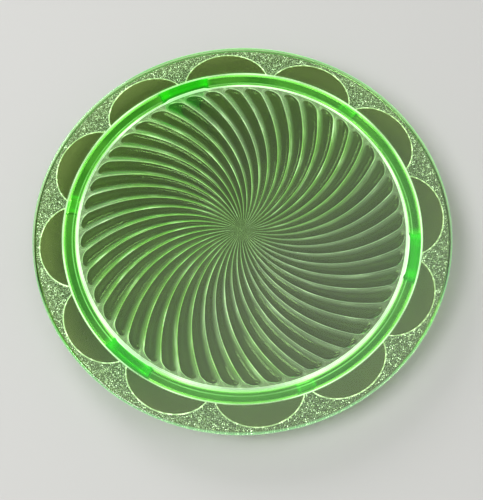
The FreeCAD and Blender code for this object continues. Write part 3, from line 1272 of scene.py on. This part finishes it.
@dataclass
class StippledGround:
    """The grains of the stipple between the lunettes, on the underside of the flange."""

    sizes: PlateSizes
    lunettes: LunetteRule
    spacing: float = 0.86 * MM
    crowding: float = 1.6
    grain_radius: float = 0.42 * MM
    grain_shares: tuple[float, float] = (0.72, 1.0)
    flatness: float = 0.36
    band_steps: int = 180
    ring_clearance: float = 0.9 * MM
    rim_clearance: float = 0.5 * MM
    line_clearance: float = 0.7 * MM
    seed: int = 11

    def band(self) -> bpy.types.Mesh:
        """Makes the flat band that the grains are spread on.

        Returns:
            A ring of quads between the foot ring and the rim.
        """
        inner = self.sizes.ring_outer + self.ring_clearance
        outer = self.sizes.flange_outer - self.rim_clearance
        steps, points, faces = self.band_steps, [], []
        for index in range(steps):
            angle = FULL_TURN * index / steps
            for radius in (inner, outer):
                points.append((radius * math.cos(angle), radius * math.sin(angle), 0.0))
            here, after = 2 * index, 2 * ((index + 1) % steps)
            faces.append((here, here + 1, after + 1, after))
        made = bpy.data.meshes.new("ground_band")
        made.from_pydata(points, [], faces)
        return made

    def build(self, material: bpy.types.Material) -> bpy.types.Object:
        """Spreads the grains over the ground with a Geometry Nodes tree.

        Args:
            material: finish of the grains.

        Returns:
            The finished piece.
        """
        graph = Graph("stipple_the_ground")
        spacing = graph.ask("Grain Spacing", self.spacing)
        size = graph.ask("Grain Radius", self.grain_radius)
        flatness = graph.ask("Grain Flatness", self.flatness)
        level = graph.ask("Level", self.sizes.flange_underside - GLASS_GAP)
        seed = graph.ask("Seed", self.seed, Socket.INT)
        rule = graph.ask_lunettes(self.lunettes, self.line_clearance)

        spread = graph.fed("GeometryNodeDistributePointsOnFaces", {
            "Mesh": graph.inputs.outputs[0],
            "Distance Min": spacing,
            "Density Max": self.crowding / self.spacing**2,
            "Seed": seed,
        }, distribute_method="POISSON")
        x, y, _ = graph.position()
        in_lunette = graph.math("LESS_THAN", graph.lunette_reach(*graph.polar(x, y), rule), 1.0)
        cull = graph.fed("GeometryNodeDeleteGeometry", {
            "Geometry": spread.outputs["Points"], "Selection": in_lunette}, domain="POINT")

        grain = graph.fed("GeometryNodeMeshIcoSphere", {"Radius": size, "Subdivisions": 1})
        share = self._random(graph, *self.grain_shares, 3)
        scale = graph.vector(share, self._random(graph, *self.grain_shares, 5), graph.times(flatness, share))
        place = graph.fed("GeometryNodeInstanceOnPoints", {
            "Points": cull.outputs[0],
            "Instance": grain.outputs["Mesh"],
            "Rotation": graph.vector(0.0, 0.0, self._random(graph, 0.0, FULL_TURN, 7)),
            "Scale": scale,
        })
        real = graph.fed("GeometryNodeRealizeInstances", {0: place.outputs[0]})
        drop = graph.less(level, graph.times(size, flatness))
        graph.close(graph.lifted(real.outputs[0], drop), material)
        return graph.run("stipple_grains", self.band())

    def _random(self, graph: Graph, low: float, high: float, seed: int) -> Any:
        """A random number for each grain."""
        inputs = {2: low, 3: high, 8: seed}
        return graph.fed("FunctionNodeRandomValue", inputs, data_type="FLOAT").outputs[1]


@dataclass
class LunetteLines:
    """The raised lines round the lunettes."""

    sizes: PlateSizes
    lunettes: LunetteRule
    width: float = 0.8 * MM
    height: float = 0.45 * MM
    ring_clearance: float = 0.5 * MM
    points: int = 72
    profile_points: int = 10

    def half_sweep(self) -> float:
        """Finds where a line meets the foot ring.

        Returns:
            Angle on the ellipse from its crest to the ring.
        """
        rule, radius = self.lunettes, self.sizes.ring_outer + self.ring_clearance
        square = rule.radial**2 - rule.tangential**2
        linear = 2 * rule.centre_radius * rule.radial
        constant = rule.centre_radius**2 + rule.tangential**2 - radius**2
        root = (-linear + math.sqrt(linear**2 - 4 * square * constant)) / (2 * square)
        return math.acos(root)

    def build(self, material: bpy.types.Material) -> bpy.types.Object:
        """Sweeps one line and turns copies of it round the axis with a Geometry Nodes tree.

        Args:
            material: finish of the lines.

        Returns:
            The finished piece.
        """
        graph = Graph("line_the_lunettes")
        rule = graph.ask_lunettes(self.lunettes)
        half_sweep = graph.ask("Half Sweep", self.half_sweep())
        width = graph.ask("Line Width", self.width)
        height = graph.ask("Line Height", self.height)
        level = graph.ask("Level", self.sizes.flange_underside - GLASS_GAP)

        arc = graph.fed("GeometryNodeCurveArc", {
            "Resolution": self.points,
            "Radius": 1.0,
            "Start Angle": graph.times(half_sweep, -1.0),
            "Sweep Angle": graph.times(half_sweep, 2.0),
        }, mode="RADIUS")
        drop = graph.math("MULTIPLY_ADD", height, -0.5, level)
        oval = graph.fed("GeometryNodeTransform", {
            "Geometry": arc.outputs[0],
            "Scale": graph.vector(rule.radial, rule.tangential, 1.0),
            "Translation": graph.vector(rule.centre_radius, 0.0, drop),
        })
        upright = graph.fed("GeometryNodeSetCurveNormal", {"Curve": oval.outputs[0]}, mode="Z_UP")
        circle = graph.fed("GeometryNodeCurvePrimitiveCircle", {
            "Resolution": self.profile_points, "Radius": 0.5}, mode="RADIUS")
        profile = graph.fed("GeometryNodeTransform", {
            "Geometry": circle.outputs[0], "Scale": graph.vector(width, height, 1.0)})
        bead = graph.fed("GeometryNodeCurveToMesh", {
            "Curve": upright.outputs[0], "Profile Curve": profile.outputs[0], "Fill Caps": True})

        step = graph.over(FULL_TURN, rule.count)
        index = graph.node("GeometryNodeInputIndex").outputs[0]
        angle = graph.math("MULTIPLY_ADD", index, step, rule.first_angle)
        places = graph.fed("GeometryNodePoints", {"Count": rule.count})
        copies = graph.fed("GeometryNodeInstanceOnPoints", {
            "Points": places.outputs[0],
            "Instance": bead.outputs[0],
            "Rotation": graph.vector(0.0, 0.0, angle),
        })
        graph.close(copies.outputs[0], material)
        return graph.run("lunette_lines", bpy.data.meshes.new("lunette_lines_base"))


# ---- studio --------------------------------------------------------------------------------------
@dataclass(frozen=True)
class Light:
    """One large soft light."""

    name: str
    azimuth: float
    elevation: float
    distance: float
    size: float
    power: float
    colour: Colour = (1.0, 1.0, 1.0)

    def place(self) -> None:
        """Puts the light in the scene, turned to the plate."""
        lamp = bpy.data.lights.new(self.name, "AREA")
        lamp.shape = "SQUARE"
        lamp.size = self.size
        lamp.energy = self.power
        lamp.color = self.colour
        made = bpy.data.objects.new(self.name, lamp)
        away = direction(self.azimuth, self.elevation)
        made.location = away * self.distance
        made.rotation_euler = away.to_track_quat("Z", "Y").to_euler()
        bpy.context.scene.collection.objects.link(made)


def direction(azimuth: float, elevation: float) -> Vector:
    """Unit vector from the plate to a place that is seen at an azimuth and elevation, in degrees."""
    turn, rise = math.radians(azimuth), math.radians(elevation)
    return Vector((math.sin(turn) * math.cos(rise), -math.cos(turn) * math.cos(rise), math.sin(rise)))


@dataclass(frozen=True)
class Studio:
    """Pale floor, soft lights, pale surroundings and the camera."""

    floor_half_size: float = 4.0
    floor_colour: Colour = (0.50, 0.50, 0.49)
    world_colour: Colour = (1.0, 1.0, 0.97)
    wall_strength: float = 0.60
    ceiling_strength: float = 0.16
    panel_strength: float = 1.6
    ceiling_edge: Point2 = (0.70, 0.93)
    panel_edge: Point2 = (0.90, 0.985)
    ceiling_azimuth: float = 172.0
    ceiling_elevation: float = 62.0
    panel_azimuth: float = 110.0
    panel_elevation: float = 78.0
    azimuth: float = -18.84
    elevation: float = 67.48
    roll: float = -1.84
    distance: float = 0.8002
    target: tuple[float, float, float] = (-0.0053, -0.0133, 0.022)
    lens: float = 93.7
    sensor: float = 36.0
    lights: tuple[Light, ...] = (
        Light("key_light", azimuth=-85.0, elevation=58.0, distance=2.4, size=1.1, power=34.0),
        Light("far_light", azimuth=195.0, elevation=30.0, distance=2.4, size=1.0, power=26.0),
    )

    def build(self) -> None:
        """Builds the whole studio."""
        self._floor()
        self._world()
        for light in self.lights:
            light.place()
        self._camera()
        settings = bpy.context.scene.cycles
        settings.max_bounces = 16
        settings.transmission_bounces = 14
        settings.glossy_bounces = 8
        settings.use_denoising = True
        bpy.context.scene.view_settings.view_transform = "Standard"

    def _floor(self) -> None:
        """Adds the floor."""
        half = self.floor_half_size
        mesh = bpy.data.meshes.new("studio_floor")
        corners = [(-half, -half, 0), (half, -half, 0), (half, half, 0), (-half, half, 0)]
        mesh.from_pydata(corners, [], [(0, 1, 2, 3)])
        floor = bpy.data.objects.new("studio_floor", mesh)
        bpy.context.scene.collection.objects.link(floor)
        material = bpy.data.materials.new("pale_floor")
        graph = ShaderGraph(material)
        shader = graph.fed("ShaderNodeBsdfPrincipled", {
            "Base Color": (*self.floor_colour, 1.0), "Roughness": 0.8, "Specular IOR Level": 0.2})
        graph.finish("ShaderNodeOutputMaterial", shader.outputs[0])
        mesh.materials.append(material)

    def _world(self) -> None:
        """Sets pale walls all round, a dimmer ceiling and one soft panel in it."""
        world = bpy.data.worlds.new("studio_world")
        graph = ShaderGraph(world)
        ray = graph.node("ShaderNodeTexCoord").outputs["Generated"]
        ceiling = self._nearness(graph, ray, self.ceiling_azimuth, self.ceiling_elevation)
        panel = self._nearness(graph, ray, self.panel_azimuth, self.panel_elevation)
        walls = graph.ramp(ceiling, *self.ceiling_edge, self.wall_strength, self.ceiling_strength)
        panel = graph.ramp(panel, *self.panel_edge, 0.0, self.panel_strength)
        strength = graph.math("ADD", walls, panel)
        background = graph.fed("ShaderNodeBackground", {
            "Color": (*self.world_colour, 1.0), "Strength": strength})
        graph.finish("ShaderNodeOutputWorld", background.outputs[0])
        bpy.context.scene.world = world

    def _nearness(self, graph: ShaderGraph, ray: Any, azimuth: float, elevation: float) -> Any:
        """How near a direction of the surroundings is to another, as the cosine between them."""
        inputs = {0: ray, 1: direction(azimuth, elevation)}
        return graph.fed("ShaderNodeVectorMath", inputs, operation="DOT_PRODUCT").outputs["Value"]

    def _camera(self) -> None:
        """Adds the camera."""
        back = direction(self.azimuth, self.elevation)
        turn, tilt = math.radians(self.azimuth), math.radians(self.roll)
        level = Vector((math.cos(turn), math.sin(turn), 0.0))
        rise = back.cross(level)
        right = level * math.cos(tilt) + rise * math.sin(tilt)
        up = rise * math.cos(tilt) - level * math.sin(tilt)
        lens = bpy.data.cameras.new("camera")
        lens.lens = self.lens
        lens.sensor_width = self.sensor
        camera = bpy.data.objects.new("camera", lens)
        axes = Matrix((right, up, back)).transposed().to_4x4()
        camera.matrix_world = Matrix.Translation(Vector(self.target) + back * self.distance) @ axes
        bpy.context.scene.collection.objects.link(camera)
        bpy.context.scene.camera = camera


# ---- the whole -----------------------------------------------------------------------------------
def settle(piece: bpy.types.Object, nodes: Sequence[str]) -> None:
    """Ties a finished piece to the plate's body, hides the CAD nodes that it stands for, and logs its size.

    Args:
        piece: the piece.
        nodes: CAD nodes that it replaces.
    """
    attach(piece, BODY)
    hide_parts(*nodes)
    piece.data.calc_loop_triangles()
    LOG.info("%s: %d triangles, stands for %d nodes", piece.name, len(piece.data.loop_triangles), len(nodes))


def main() -> None:
    """Builds the plate and its studio."""
    sizes = PlateSizes.from_frame()
    lunettes = LunetteRule.from_frame(sizes)
    reeds, ring = ReedRule(sizes.reed_end), FootRing(sizes)
    glass = UraniumGlass(sizes, lunettes, reeds.pattern, ring.feet, ring.pads).build()
    # the grains and the lines get painted sparkle and glow
    grains = BeadGlass("grain_glass", deep=(0.30, 0.42, 0.24), glow=(0.84, 0.84, 1.0),
                       dull_strength=0.15, bright_strength=1.6, sparkle_scale=650.0).build()
    lines = BeadGlass("line_glass", deep=(0.80, 0.98, 0.60), glow=(0.86, 0.88, 1.0),
                      dull_strength=0.4, bright_strength=1.2, sparkle_scale=420.0).build()

    plate = PlateGlass(sizes, reeds, ring).build(glass)
    settle(plate, nodes_called("well_disc", "centre_spot", "swirl_reeds", "foot_", "ring_pad",
                                           "lunette_panel", "rim_bead"))
    settle(StippledGround(sizes, lunettes).build(grains), nodes_called("stippled_ground"))
    settle(LunetteLines(sizes, lunettes).build(lines), nodes_called("lunette_line"))

    Studio().build()


if __name__ == "__main__":
    main()
